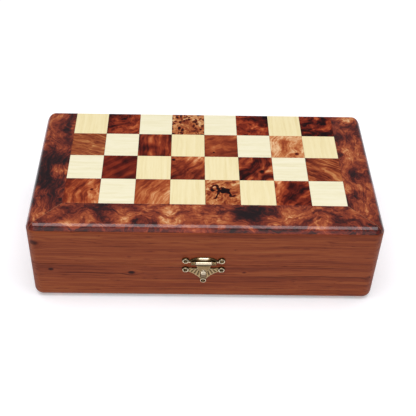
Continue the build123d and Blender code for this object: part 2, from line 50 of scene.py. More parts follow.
# ---- the case's own measures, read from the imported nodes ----
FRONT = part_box("base_front_wall")[0].y
panel_low, panel_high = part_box("lid_board_panel")
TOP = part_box("lid_burl_frame")[1].z
COLUMNS, ROWS = 8, 4
SQUARE = (panel_high.x - panel_low.x) / COLUMNS
FIELD_X = -panel_low.x
FIELD_Y = panel_low.y
FOLD_Y = panel_high.y
TILE = TOP - panel_high.z
MID = TOP / 2
GLUE_LINE = 0.1 * MM
# Widths of the burl frame along the front and at the ends, in millimetres.
BORDER = (FIELD_Y - FRONT) / MM
END_BORDER = (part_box("lid_right_wall")[1].x - FIELD_X) / MM


# ================= small helpers for shader nodes =================


def colour(code):
    """Linear RGBA of an sRGB colour such as "8a4a2e"."""
    channels = [int(code[i:i + 2], 16) / 255 for i in (0, 2, 4)]
    linear = [c / 12.92 if c <= 0.04045 else ((c + 0.055) / 1.055) ** 2.4 for c in channels]
    return (*linear, 1.0)


class Graph:
    """Builds one material's nodes. Every method returns the socket that holds its result."""

    def __init__(self, name):
        self.material = bpy.data.materials.new(name)
        self.material.use_nodes = True
        self.tree = self.material.node_tree
        self.tree.nodes.clear()
        self.shader = self.tree.nodes.new("ShaderNodeBsdfPrincipled")
        output = self.tree.nodes.new("ShaderNodeOutputMaterial")
        self.tree.links.new(self.shader.outputs[0], output.inputs["Surface"])

    def put(self, socket, value):
        if isinstance(value, bpy.types.NodeSocket):
            self.tree.links.new(value, socket)
        else:
            socket.default_value = value

    def set(self, **values):
        """Sets the shader's own sockets, such as Base_Color or Roughness."""
        for name, value in values.items():
            self.put(self.shader.inputs[name.replace("_", " ")], value)

    def place(self):
        """The rest position in metres, which stays on the piece when it moves."""
        return self.tree.nodes.new("ShaderNodeTexCoord").outputs["Object"]

    def attribute(self, name):
        node = self.tree.nodes.new("ShaderNodeAttribute")
        node.attribute_name = name
        return node.outputs["Vector"]

    def split(self, vector):
        node = self.tree.nodes.new("ShaderNodeSeparateXYZ")
        self.put(node.inputs[0], vector)
        return node.outputs[0], node.outputs[1], node.outputs[2]

    def join(self, x, y, z):
        node = self.tree.nodes.new("ShaderNodeCombineXYZ")
        for socket, value in zip(node.inputs, (x, y, z)):
            self.put(socket, value)
        return node.outputs[0]

    def math(self, operation, a, b=0.0, c=0.0):
        node = self.tree.nodes.new("ShaderNodeMath")
        node.operation = operation
        for socket, value in zip(node.inputs, (a, b, c)):
            self.put(socket, value)
        return node.outputs[0]

    def vector(self, operation, a, b=(0, 0, 0), scale=1.0):
        node = self.tree.nodes.new("ShaderNodeVectorMath")
        node.operation = operation
        self.put(node.inputs[0], a)
        self.put(node.inputs[1], b)
        self.put(node.inputs[3], scale)
        return node.outputs[1 if operation == "LENGTH" else 0]

    def noise(self, place, scale=1.0, detail=3.0, roughness=0.55, distortion=0.0, colour=False):
        node = self.tree.nodes.new("ShaderNodeTexNoise")
        self.put(node.inputs["Vector"], place)
        self.put(node.inputs["Scale"], scale)
        self.put(node.inputs["Detail"], detail)
        self.put(node.inputs["Roughness"], roughness)
        self.put(node.inputs["Distortion"], distortion)
        return node.outputs["Color" if colour else "Fac"]

    def cells(self, place, scale):
        """The distance to the nearest of points that are strewn about, in parts of a cell."""
        node = self.tree.nodes.new("ShaderNodeTexVoronoi")
        self.put(node.inputs["Vector"], place)
        self.put(node.inputs["Scale"], scale)
        return node.outputs["Distance"]

    def remap(self, value, low, high, to_low=0.0, to_high=1.0):
        """Carries value smoothly from one range to another, and holds it at the ends."""
        node = self.tree.nodes.new("ShaderNodeMapRange")
        node.interpolation_type = "SMOOTHSTEP"
        for socket, number in zip(node.inputs, (value, low, high, to_low, to_high)):
            self.put(socket, number)
        return node.outputs[0]

    def mix(self, share, a, b, blend="MIX"):
        node = self.tree.nodes.new("ShaderNodeMix")
        node.data_type = "RGBA"
        node.blend_type = blend
        self.put(node.inputs["Factor"], share)
        self.put(node.inputs[6], a)
        self.put(node.inputs[7], b)
        return node.outputs[2]

    def ramp(self, value, stops):
        node = self.tree.nodes.new("ShaderNodeValToRGB")
        elements = node.color_ramp.elements
        while len(elements) < len(stops):
            elements.new(0.5)
        for element, (position, code) in zip(elements, stops):
            element.position = position
            element.color = colour(code)
        self.put(node.inputs[0], value)
        return node.outputs[0]

    def bump(self, height, strength, distance):
        node = self.tree.nodes.new("ShaderNodeBump")
        self.put(node.inputs["Height"], height)
        node.inputs["Strength"].default_value = strength
        node.inputs["Distance"].default_value = distance
        self.tree.links.new(node.outputs[0], self.shader.inputs["Normal"])


# ================= wood =================

# A knot's place, from -1 to 1 across its square, and its radius in millimetres. This one is
# too far off to show.
NO_KNOT = (9.0, 9.0, 4.0)
# The same for burl_colour: nine radii from a knot each way, and no veins.
FAR_FROM_KNOTS = (9.0, 9.0, 0.0)

# From the darkest burl to the palest.
BURL_STOPS = (
    (0.00, "150304"),
    (0.16, "2d0a08"),
    (0.32, "54170d"),
    (0.48, "7b2e19"),
    (0.64, "9e4926"),
    (0.80, "c07445"),
    (1.00, "e2b286"),
)


def burl_colour(g, place, figure, tint, knot):
    """Thuya burl. place is in millimetres with the grain along X. figure holds the shares of
    stripes, curls and bird's eyes; tint holds lightness, redness and contrast; knot holds the
    distance from the knot's centre, in radii of the knot, and the share of black veins."""
    stripes, curls, eyes = g.split(figure)
    light, red, contrast = g.split(tint)
    knot_x, knot_y, veins = g.split(knot)
    knot = g.join(knot_x, knot_y, 0.0)
    # The grain swells and folds over itself, and winds round the knot.
    swell = g.vector("SUBTRACT", g.noise(place, 0.035, 1, 0.4, colour=True), (0.5, 0.5, 0.5))
    fold = g.vector("SUBTRACT", g.noise(place, 0.13, 2, 0.45, colour=True), (0.5, 0.5, 0.5))
    bent = g.vector("ADD", place, g.vector("SCALE", swell, scale=g.math("MULTIPLY_ADD", curls, 60.0, 8.0)))
    bent = g.vector("ADD", bent, g.vector("SCALE", fold, scale=g.math("MULTIPLY_ADD", curls, 14.0, 1.5)))
    knot_distance = g.vector("LENGTH", knot)
    near = g.remap(knot_distance, 3.2, 0.2)
    bent = g.vector("ADD", bent, g.vector("SCALE", knot, scale=g.math("MULTIPLY", near, 4.0)))
    # Layers of figure, each around zero.
    band = g.math("SUBTRACT", g.noise(g.vector("MULTIPLY", bent, (0.012, 0.16, 0.16)), 1.0, 2, 0.5), 0.5)
    streak = g.math("SUBTRACT", g.noise(g.vector("MULTIPLY", bent, (0.05, 0.62, 0.62)), 1.0, 3, 0.55), 0.5)
    fibre = g.math("SUBTRACT", g.noise(g.vector("MULTIPLY", bent, (0.22, 2.6, 2.6)), 1.0, 2, 0.6), 0.5)
    cloud = g.math("SUBTRACT", g.noise(place, 0.055, 2, 0.5), 0.5)
    vein = g.math("ABSOLUTE", g.math("SUBTRACT", g.noise(bent, 0.10, 2, 0.5), 0.5))
    vein = g.remap(vein, 0.030, 0.0)
    eye_place = g.vector("ADD", place, g.vector("SCALE", fold, scale=9.0))
    eye = g.math("MULTIPLY", g.remap(g.cells(eye_place, 0.27), 0.56, 0.22), g.remap(cloud, -0.20, -0.04))
    # A black vein crosses the knot, and a branch of it leaves on the lower left.
    fold_x, fold_y, _ = g.split(fold)
    across = g.math("MULTIPLY_ADD", knot_y, 0.85, g.math("MULTIPLY", knot_x, 0.50))
    across = g.math("ABSOLUTE", g.math("MULTIPLY_ADD", fold_x, 6.0, across))
    branch = g.math("MULTIPLY_ADD", knot_y, -0.60, g.math("MULTIPLY", knot_x, 0.80))
    branch = g.math("ABSOLUTE", g.math("MULTIPLY_ADD", fold_y, 6.0, branch))
    behind = g.math("MAXIMUM", g.math("ADD", knot_x, g.math("MULTIPLY", knot_y, 1.2)), 0.0)
    black = g.math("MAXIMUM", g.remap(across, 0.85, 0.35), g.remap(g.math("ADD", branch, behind), 0.80, 0.30))
    black = g.math("MULTIPLY", black, g.remap(knot_distance, 4.8, 3.0))
    value = g.math("ADD", 0.44, light)
    value = g.math("MULTIPLY_ADD", g.math("MULTIPLY", band, contrast), 1.1, value)
    value = g.math("MULTIPLY_ADD", g.math("MULTIPLY", cloud, contrast), 1.1, value)
    value = g.math("MULTIPLY_ADD", g.math("MULTIPLY", streak, stripes), 1.0, value)
    value = g.math("MULTIPLY_ADD", fibre, 0.12, value)
    value = g.math("MULTIPLY_ADD", g.math("MULTIPLY", vein, curls), -0.16, value)
    value = g.math("MULTIPLY_ADD", g.math("MULTIPLY", eye, eyes), -0.50, value)
    value = g.math("MULTIPLY_ADD", g.math("MULTIPLY", black, veins), -0.60, value)
    ragged = g.math("MULTIPLY_ADD", g.vector("LENGTH", fold), 1.1, knot_distance)
    heart = g.remap(ragged, 1.25, 0.45)
    value = g.math("MULTIPLY_ADD", heart, -0.50, value)
    wood = g.ramp(value, BURL_STOPS)
    share = g.math("MULTIPLY_ADD", red, 0.5, 0.5)
    green = g.math("MULTIPLY_ADD", share, -0.68, 1.34)
    blue = g.math("MULTIPLY_ADD", share, -0.76, 1.36)
    return g.mix(1.0, wood, g.join(1.0, green, blue), "MULTIPLY"), value


def burl_square_material():
    g = Graph("thuya_burl_square")
    wood, value = burl_colour(
        g, g.attribute("grain"), g.attribute("figure"), g.attribute("tint"), g.attribute("knot")
    )
    g.set(Base_Color=wood, Roughness=g.remap(value, 0.2, 0.8, 0.38, 0.28), Specular_IOR_Level=0.1)
    g.set(Coat_Weight=0.15, Coat_Roughness=0.12)
    g.bump(value, 0.06, 0.1 * MM)
    return g.material


# Where the lid's frame is paler or darker than its middle tone, in millimetres on the board:
# x, y, radius along x, radius along y, lightness.
FRAME_PATCHES = (
    # left strip, from the fold to the front
    (-137, 62, 7, 22, 0.10),
    (-128, 58, 3, 22, -0.28),
    (-139, 34, 10, 12, 0.10),
    (-134, 12, 14, 12, -0.30),
    (-143, -8, 8, 20, -0.34),
    (-129, -2, 5, 5, 0.14),
    (-130, -26, 13, 14, -0.30),
    (-140, -54, 12, 9, 0.20),
    # front strip, from left to right
    (-112, -57, 18, 8, -0.05),
    (-84, -56, 12, 12, -0.22),
    (-66, -60, 9, 10, 0.12),
    (-60, -66, 5, 4, -0.35),
    (-38, -58, 16, 12, 0.14),
    (-10, -58, 26, 12, 0.20),
    (12, -66, 20, 5, 0.16),
    (14, -52, 14, 4, -0.10),
    (38, -54, 16, 9, -0.34),
    (56, -64, 14, 7, 0.12),
    (74, -58, 12, 12, 0.20),
    (93, -60, 1.1, 14, 0.16),
    (99, -62, 1.0, 12, 0.13),
    (114, -58, 16, 12, -0.02),
    # right strip, from the front to the fold
    (136, -52, 12, 12, 0.02),
    (132, -32, 12, 5, -0.20),
    (138, -18, 12, 8, 0.16),
    (130, -4, 6, 6, -0.10),
    (136, 14, 11, 14, 0.18),
    (141, 36, 5, 12, 0.24),
    (128, 40, 6, 14, -0.06),
    (135, 60, 11, 6, -0.22),
    (132, 71, 12, 5, 0.20),
)


def frame_material():
    """The frame's wood runs along each strip and turns at the mitre."""
    g = Graph("thuya_burl_frame")
    place = g.vector("SCALE", g.place(), scale=1000.0)
    x, y, z = g.split(place)
    # How far out of the squares a place is, as a share of the frame's width.
    over = g.math("DIVIDE", g.math("SUBTRACT", g.math("ABSOLUTE", x), FIELD_X / MM), END_BORDER)
    down = g.math("DIVIDE", g.math("SUBTRACT", FIELD_Y / MM, y), BORDER)
    side = g.math("GREATER_THAN", over, down)
    turned = g.join(y, g.math("ADD", x, 400.0), z)
    along = g.mix(side, g.vector("ADD", place, (900.0, 0.0, 0.0)), turned)
    warp = g.vector("SUBTRACT", g.noise(place, 0.11, 2, 0.5, colour=True), (0.5, 0.5, 0.5))
    x, y, z = g.split(g.vector("ADD", place, g.vector("SCALE", warp, scale=16.0)))
    shift = 0.0
    for px, py, rx, ry, light in FRAME_PATCHES:
        dx = g.math("DIVIDE", g.math("SUBTRACT", x, px), rx)
        dy = g.math("DIVIDE", g.math("SUBTRACT", y, py), ry)
        near = g.remap(g.vector("LENGTH", g.join(dx, dy, 0.0)), 1.5, 0.2)
        shift = g.math("MULTIPLY_ADD", near, light, shift)
    on_lid = g.math("GREATER_THAN", z, MID / MM)
    # Painted shade: the rounded edges, turned away from the lamps, are made darker and redder than the flat.
    rest_z = g.split(place)[2]
    edge = g.remap(g.math("ABSOLUTE", g.math("SUBTRACT", rest_z, MID / MM)), 43.4, 42.0)
    light = g.math("MULTIPLY_ADD", edge, -0.10, g.math("MULTIPLY_ADD", shift, on_lid, 0.01))
    tint = g.join(light, g.math("MULTIPLY_ADD", edge, 0.9, -0.3), 0.8)
    wood, value = burl_colour(g, along, (0.75, 0.55, 0.05), tint, FAR_FROM_KNOTS)
    joint = g.remap(g.math("ABSOLUTE", g.math("SUBTRACT", over, down)), 0.016, 0.004)
    joint = g.math("MULTIPLY", joint, g.math("GREATER_THAN", over, 0.0))
    wood = g.mix(g.math("MULTIPLY", joint, 0.40), wood, colour("c08a62"))
    g.set(Base_Color=wood, Roughness=g.remap(value, 0.2, 0.8, 0.38, 0.28), Specular_IOR_Level=0.12)
    g.set(Coat_Weight=0.75, Coat_Roughness=0.10)
    g.bump(value, 0.05, 0.1 * MM)
    return g.material


# Small knots on the front face: x, height, radius and how dark, in millimetres.
WALL_KNOTS = (
    (-131.4, 36.8, 2.2, 0.50),
    (-62.4, 33.5, 2.8, 0.52),
    (34.4, 34.8, 1.7, 0.30),
    (-143.5, 69.5, 4.0, 0.34),
    (143.0, 30.0, 2.2, 0.22),
    (-64.0, 53.5, 1.8, 0.14),
)

# Long dark lines in the front face: middle, half length and height, in millimetres.
GROWTH_LINES = (
    (-92.0, 42.0, 32.6),
    (95.0, 62.0, 29.8),
    (20.0, 30.0, 36.5),
)


def wall_material(name, along_y):
    """Straight-grained thuya: fine streaks along the wall, soft bands, and a few small knots."""
    g = Graph(name)
    place = g.vector("SCALE", g.place(), scale=1000.0)
    x, y, z = g.split(place)
    along, across = (y, x) if along_y else (x, y)
    depth = g.math("ADD", across, 170.0)
    knots = 0.0
    pull = 0.0
    if not along_y:
        front = g.math("LESS_THAN", y, 0.0)
        for kx, kz, radius, dark in WALL_KNOTS:
            dx = g.math("DIVIDE", g.math("SUBTRACT", x, kx), 1.5 * radius)
            dz = g.math("DIVIDE", g.math("SUBTRACT", z, kz), radius)
            away = g.vector("LENGTH", g.join(dx, dz, 0.0))
            knots = g.math("MULTIPLY_ADD", g.remap(away, 1.0, 0.25), dark, knots)
            bow = g.math("MULTIPLY", g.remap(away, 3.0, 0.3), dz)
            pull = g.math("MULTIPLY_ADD", bow, -0.8 * radius, pull)
        knots = g.math("MULTIPLY", knots, front)
        pull = g.math("MULTIPLY", pull, front)
    place = g.join(along, depth, g.math("ADD", z, pull))
    wander = g.vector("SUBTRACT", g.noise(place, 0.012, 2, colour=True), (0.5, 0.5, 0.5))
    bent = g.vector("ADD", place, g.vector("MULTIPLY", wander, (0.0, 6.0, 6.0)))
    band = g.noise(g.vector("MULTIPLY", bent, (0.004, 0.12, 0.12)), 1.0, 2, 0.5)
    streak = g.noise(g.vector("MULTIPLY", bent, (0.012, 0.75, 0.75)), 1.0, 3, 0.6)
    line = g.noise(g.vector("MULTIPLY", bent, (0.008, 0.42, 0.42)), 1.0, 1, 0.5)
    line = g.remap(g.math("ABSOLUTE", g.math("SUBTRACT", line, 0.42)), 0.020, 0.0)
    fibre = g.noise(g.vector("MULTIPLY", bent, (0.10, 4.5, 4.5)), 1.0, 2, 0.7)
    value = g.math("MULTIPLY_ADD", g.math("SUBTRACT", band, 0.5), 0.50, 0.5)
    value = g.math("MULTIPLY_ADD", g.math("SUBTRACT", streak, 0.5), 0.60, value)
    value = g.math("MULTIPLY_ADD", g.math("SUBTRACT", fibre, 0.5), 0.30, value)
    value = g.math("MULTIPLY_ADD", line, -0.20, value)
    if not along_y:
        bent_z = g.split(bent)[2]
        for middle, reach, height in GROWTH_LINES:
            near = g.remap(g.math("ABSOLUTE", g.math("SUBTRACT", bent_z, height)), 0.90, 0.20)
            length = g.remap(g.math("ABSOLUTE", g.math("SUBTRACT", x, middle)), reach, 0.6 * reach)
            near = g.math("MULTIPLY", g.math("MULTIPLY", near, length), front)
            value = g.math("MULTIPLY_ADD", near, -0.20, value)
    value = g.math("SUBTRACT", value, knots)
    wood = g.ramp(
        value,
        ((0.0, "2a0c06"), (0.25, "56200e"), (0.42, "78341b"), (0.55, "8b4321"), (0.8, "9f5e32")),
    )
    g.set(Base_Color=wood, Roughness=g.remap(value, 0.3, 0.7, 0.50, 0.42), Specular_IOR_Level=0.1)
    g.bump(value, 0.10, 0.15 * MM)
    return g.material


def lemonwood_material():
    """Pale lemonwood, from white to yellow by the first part of the piece's tint. The white and the yellow
    are painted light and shade: the one wood looks whiter with the grain along the board and yellower across
    it.
    """
    g = Graph("lemonwood_square")
    place = g.attribute("grain")
    tone = g.split(g.attribute("tint"))[0]
    wander = g.vector("SUBTRACT", g.noise(place, 0.03, 2, colour=True), (0.5, 0.5, 0.5))
    bent = g.vector("ADD", place, g.vector("MULTIPLY", wander, (0.0, 4.0, 4.0)))
    band = g.noise(g.vector("MULTIPLY", bent, (0.02, 0.35, 0.35)), 1.0, 3, 0.6)
    fibre = g.noise(g.vector("MULTIPLY", bent, (0.10, 2.6, 2.6)), 1.0, 3, 0.7)
    value = g.math("MULTIPLY_ADD", g.math("SUBTRACT", band, 0.5), 0.9, 0.5)
    value = g.math("MULTIPLY_ADD", g.math("SUBTRACT", fibre, 0.5), 0.5, value)
    pale = g.ramp(value, ((0.1, "dcd2a6"), (0.5, "eae3c0"), (0.9, "f2ecd2")))
    warm = g.ramp(value, ((0.1, "dac78e"), (0.5, "e9dbaa"), (0.9, "f0e5bc")))
    g.set(Base_Color=g.mix(tone, pale, warm), Roughness=0.34, Specular_IOR_Level=0.25)
    g.set(Coat_Weight=0.2, Coat_Roughness=0.12)
    g.bump(value, 0.04, 0.1 * MM)
    return g.material


# ================= squares =================


def square_centre(column, row):
    return ((column + 0.5) * SQUARE - FIELD_X, (row + 0.5) * SQUARE + FIELD_Y)


def squares_piece(name, node, body, spots, facts, material):
    """Sixteen squares as one mesh, each with softened edges and its own wood: facts holds a
    wood_fact for each spot. The base's squares are the lid's, mirrored in the seam."""
    mesh = bpy.data.meshes.new(name)
    vertices, faces, layers = [], [], {"grain": [], "figure": [], "tint": [], "knot": []}
    half = (SQUARE - GLUE_LINE) / 2
    soft = 0.12 * MM
    low_z, high_z = TOP - TILE, TOP
    sections = ((low_z, 0.0), (high_z - soft, 0.0), (high_z - 0.3 * soft, 0.3 * soft), (high_z, soft))
    for number, (column, row) in enumerate(spots):
        fact = facts[(column, row)]
        x, y = square_centre(column, row)
        far = min(half, FOLD_Y - y)
        first = len(vertices)
        for z, inset in sections:
            for sx, sy in ((-half, -half), (half, -half), (half, far), (-half, far)):
                corner_x = x + sx - math.copysign(inset, sx)
                vertices.append((corner_x, y + sy - math.copysign(inset, sy), z))
        for level in range(len(sections) - 1):
            for corner in range(4):
                a, b = first + 4 * level + corner, first + 4 * level + (corner + 1) % 4
                faces.append((a, b, b + 4, a + 4))
        faces.append((first + 3, first + 2, first + 1, first))
        last = first + 4 * (len(sections) - 1)
        faces.append((last, last + 1, last + 2, last + 3))
        turn = math.radians(fact["angle"])
        shift = (137.0 * column + 53.0, 211.0 * row + 17.0 * number)
        kx, ky, kr = fact["knot"]
        for vx, vy, vz in vertices[first:]:
            u, v = (vx - x) / MM, (vy - y) / MM
            along = u * math.cos(turn) + v * math.sin(turn)
            across = v * math.cos(turn) - u * math.sin(turn)
            layers["grain"].append((along + shift[0], across + shift[1], (vz - TOP) / MM))
            side = SQUARE / MM / 2
            light, red, contrast = fact["tint"]
            lean_x, lean_y = fact["lean"]
            light += lean_x * u / side + lean_y * v / side
            layers["figure"].append(fact["figure"])
            layers["tint"].append((light, red, contrast))
            layers["knot"].append(((u - kx * side) / kr, (v - ky * side) / kr, fact["veins"]))
    if body == "base":
        vertices = [(x, y, 2 * MID - z) for x, y, z in vertices]
        faces = [tuple(reversed(face)) for face in faces]
    mesh.from_pydata(vertices, [], faces)
    for layer, values in layers.items():
        attribute = mesh.attributes.new(layer, "FLOAT_VECTOR", "POINT")
        for item, value in zip(attribute.data, values):
            item.vector = value
    mesh.materials.append(material)
    piece = bpy.data.objects.new(name, mesh)
    bpy.context.scene.collection.objects.link(piece)
    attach(piece, body)
    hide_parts(node)
    return piece


def wood_fact(
    angle=0, stripes=0.3, curls=0.5, eyes=0.0, light=0.0, red=0.2, contrast=0.5,
    knot=NO_KNOT, lean=(0.0, 0.0), veins=0.0,
):
    """One square's wood. lean is how much lighter it gets to its right and to its back edge."""
    figure, tint = (stripes, curls, eyes), (light, red, contrast)
    return {"angle": angle, "figure": figure, "tint": tint, "knot": knot, "lean": lean, "veins": veins}


# The lid's dark squares by column and row, row 0 at the front.
LID_DARK = {
    (1, 3): wood_fact(25, 0.4, 0.6, 0.2, -0.01, 0.35, 1.0, (0.0, 0.45, 1.6), (0.10, -0.12)),
    (3, 3): wood_fact(10, 0.6, 0.7, 1.25, 0.31, -0.8, 0.8),
    (5, 3): wood_fact(0, 0.4, 0.6, 0.3, 0.04, 0.6, 0.9, NO_KNOT, (0.0, -0.12)),
    (7, 3): wood_fact(30, 0.4, 0.7, 0.2, -0.08, 0.5, 1.3, NO_KNOT, (0.04, 0.08)),
    (0, 2): wood_fact(-18, 0.9, 0.05, 0.0, 0.12, -1.2, 0.3),
    (2, 2): wood_fact(88, 0.6, 0.05, 0.0, -0.07, 0.3, 1.1, NO_KNOT, (0.10, 0.0)),
    (4, 2): wood_fact(20, 0.4, 0.15, 0.0, 0.07, -0.2, 0.5, (-0.45, -0.62, 1.3), (0.0, 0.05)),
    (6, 2): wood_fact(70, 0.6, 0.35, 0.0, 0.36, -0.3, 0.6, (0.55, -0.65, 2.4), (-0.04, 0.06)),
    (1, 1): wood_fact(35, 0.25, 0.1, 0.0, -0.09, 0.6, 0.7),
    (3, 1): wood_fact(60, 0.6, 0.35, 0.0, 0.14, 0.0, 0.9, (-0.85, 0.7, 2.0), (0.0, 0.10)),
    (5, 1): wood_fact(65, 0.5, 0.3, 0.0, -0.02, 0.1, 1.3, (0.35, -0.3, 3.0), (0.0, 0.0)),
    (7, 1): wood_fact(-35, 1.0, 0.08, 0.0, 0.10, -0.7, 0.6, NO_KNOT, (0.0, -0.05)),
    (0, 0): wood_fact(75, 0.6, 0.3, 0.0, 0.15, 0.0, 0.8, (0.55, 0.1, 2.0), (0.10, -0.10)),
    (2, 0): wood_fact(55, 0.6, 0.15, 0.0, 0.19, -0.15, 0.5, NO_KNOT, (0.06, -0.05)),
    (4, 0): wood_fact(40, 0.7, 0.6, 0.3, 0.29, -0.6, 0.8, (0.0, 0.1, 3.1), (0.0, 0.0), 1.1),
    (6, 0): wood_fact(50, 0.5, 0.4, 0.0, 0.02, 0.3, 1.3, NO_KNOT, (0.0, 0.05)),
}

# The lid's pale squares that are yellower, with the grain across the board: the same wood in painted shade,
# for how the light falls on cross grain.
LID_WARM = {(0, 3), (6, 3), (3, 2), (7, 2), (2, 1), (4, 1), (3, 0), (5, 0)}


def pale_facts(warm):
    facts = {}
    for column in range(COLUMNS):
        for row in range(ROWS):
            yellow = (column, row) in warm
            fact = wood_fact(angle=90 if yellow else 0)
            fact["tint"] = (1.0 if yellow else 0.0, 0.0, 0.0)
            facts[(column, row)] = fact
    return facts


def chance_facts(seed):
    """Woods for the half of the board that the base carries."""
    chance = random.Random(seed)
    facts, warm = {}, set()
    for column in range(COLUMNS):
        for row in range(ROWS):
            facts[(column, row)] = wood_fact(
                chance.uniform(-90, 90),
                chance.uniform(0.2, 0.8),
                chance.uniform(0.2, 1.0),
                chance.choice((0.0, 0.0, 0.3, 0.9)),
                chance.uniform(-0.15, 0.2),
                chance.uniform(0.0, 0.5),
                chance.uniform(0.3, 1.0),
                (chance.uniform(-0.7, 0.7), chance.uniform(-0.7, 0.7), chance.uniform(2, 4))
                if chance.random() < 0.4
                else NO_KNOT,
            )
            if chance.random() < 0.5:
                warm.add((column, row))
    return facts, warm


def squares():
    spots = [(column, row) for row in range(ROWS) for column in range(COLUMNS)]
    dark = [s for s in spots if sum(s) % 2 == 0]
    pale = [s for s in spots if sum(s) % 2 == 1]
    burl = burl_square_material()
    lemon = lemonwood_material()
    base_facts, base_warm = chance_facts(5)
    # Across the fold the colours go on alternating, so the base has them the other way round.
    piece = squares_piece("lid_burl_squares", "lid_dark_squares", "lid", dark, LID_DARK, burl)
    piece = squares_piece("lid_lemon_squares", "lid_light_squares", "lid", pale, pale_facts(LID_WARM), lemon)
    piece = squares_piece("base_burl_squares", "base_dark_squares", "base", pale, base_facts, burl)
    facts = pale_facts(base_warm)
    piece = squares_piece("base_lemon_squares", "base_light_squares", "base", dark, facts, lemon)


# ================= latch =================

LATCH_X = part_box("hasp")[0].x / 2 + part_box("hasp")[1].x / 2
# In millimetres from the latch's middle and from the front face.
BARREL_Z = 48.8
BARREL_OUT = 2.2
LID_EYELET = (15.4, 50.4)
BASE_EYELET = (15.4, 39.3)
TIP_EYELET = (0.0, 25.8)
EYELET = 3.1  # radius
LIP = 2.25  # radius of the raised rim round an eyelet's nail
BACK_WEAR = 0.7  # how rubbed a pressed plate's back is


def arc(centre, radius, start, end, steps):
    """Points on a circle between two angles in degrees."""
    points = []
    for step in range(steps + 1):
        angle = math.radians(start + (end - start) * step / steps)
        points.append((centre[0] + radius * math.cos(angle), centre[1] + radius * math.sin(angle)))
    return points


def bezier(a, b, c, steps):
    """Points on the curve from a to c that is drawn towards b."""
    points = []
    for step in range(steps + 1):
        t = step / steps
        weights = ((1 - t) ** 2, 2 * t * (1 - t), t * t)
        points.append(tuple(sum(w * p[i] for w, p in zip(weights, (a, b, c))) for i in (0, 1)))
    return points


def both_sides(half):
    """Closes a right-hand outline with its mirror image."""
    return half + [(-x, z) for x, z in reversed(half) if abs(x) > 1e-6]


def densified(outline, step):
    points = []
    for a, b in zip(outline, outline[1:] + outline[:1]):
        count = max(1, round(math.dist(a, b) / step))
        for number in range(count):
            t = number / count
            points.append((a[0] + (b[0] - a[0]) * t, a[1] + (b[1] - a[1]) * t))
    return points


def inside(point, outline):
    x, z = point
    hit = False
    for (ax, az), (bx, bz) in zip(outline, outline[1:] + outline[:1]):
        if (az > z) != (bz > z) and x < (bx - ax) * (z - az) / (bz - az) + ax:
            hit = not hit
    return hit


def relief(name, outline, height, back, step=0.3):
    """A pressed plate in millimetres: its front stands out by height(x, z, edge) and its flat
    back by back. edge is the distance to the outline. Returns vertices, faces and a tone value per vertex:
    rubbing plus painted highlight and shade."""
    rim = densified(outline, step)
    tree = KDTree(len(rim))
    for number, (x, z) in enumerate(rim):
        tree.insert((x, z, 0.0), number)
    tree.balance()
    xs, zs = [p[0] for p in rim], [p[1] for p in rim]
    inner = []
    z, odd = min(zs), False
    while z < max(zs):
        x = min(xs) + (step / 2 if odd else 0.0)
        while x < max(xs):
            if tree.find((x, z, 0.0))[2] > 0.5 * step and inside((x, z), rim):
                inner.append((x, z))
            x += step
        z += 0.87 * step
        odd = not odd
    points = [Vector(p) for p in rim + inner]
    loop = [(i, (i + 1) % len(rim)) for i in range(len(rim))]
    flat, _, cells, *_ = delaunay_2d_cdt(points, loop, [], 1, 1e-5)
    flat = [(p.x, p.y) for p in flat]
    cells = [c for c in cells if inside(tuple(sum(flat[i][k] for i in c) / 3 for k in (0, 1)), rim)]
    count = len(flat)
    vertices, wear_and_light = [], []
    for x, z in flat:
        out, rubbed_and_lit = height(x, z, tree.find((x, z, 0.0))[2])
        vertices.append((x, -out, z))
        wear_and_light.append(rubbed_and_lit)
    for x, z in flat:
        vertices.append((x, -back, z))
        wear_and_light.append(BACK_WEAR)
    faces = []
    edges = {}
    for a, b, c in cells:
        faces.append((a, b, c))
        faces.append((c + count, b + count, a + count))
        for edge in ((a, b), (b, c), (c, a)):
            edges[edge] = True
    for a, b in edges:
        if (b, a) not in edges:
            faces.append((b, a, a + count, b + count))
    return vertices, faces, wear_and_light


def turned_along_x(profile, centre, worn_and_lit, turns=36):
    """A turned piece on an axis along X through centre (y, z): profile lists x and radius.
    worn holds the tone values of its underside and its upper side: the paler upper side is a painted
    highlight, the darker underside painted shade."""
    vertices, faces, wear_and_light = [], [], []
    for x, radius in profile:
        for turn in range(turns):
            angle = 2 * math.pi * turn / turns
            vertices.append((x, centre[0] + radius * math.cos(angle), centre[1] + radius * math.sin(angle)))
            # Painted highlight: the upper side gets the paler value, the underside the darker one.
            upper = min(1.0, max(0.0, math.sin(angle) / 0.3))
            wear_and_light.append(worn_and_lit[0] + (worn_and_lit[1] - worn_and_lit[0]) * upper)
    for level in range(len(profile) - 1):
        for turn in range(turns):
            a, b = level * turns + turn, level * turns + (turn + 1) % turns
            faces.append((a, a + turns, b + turns, b))
    faces.append(tuple(range(turns)))
    last = (len(profile) - 1) * turns
    faces.append(tuple(reversed(range(last, last + turns))))
    return vertices, faces, wear_and_light


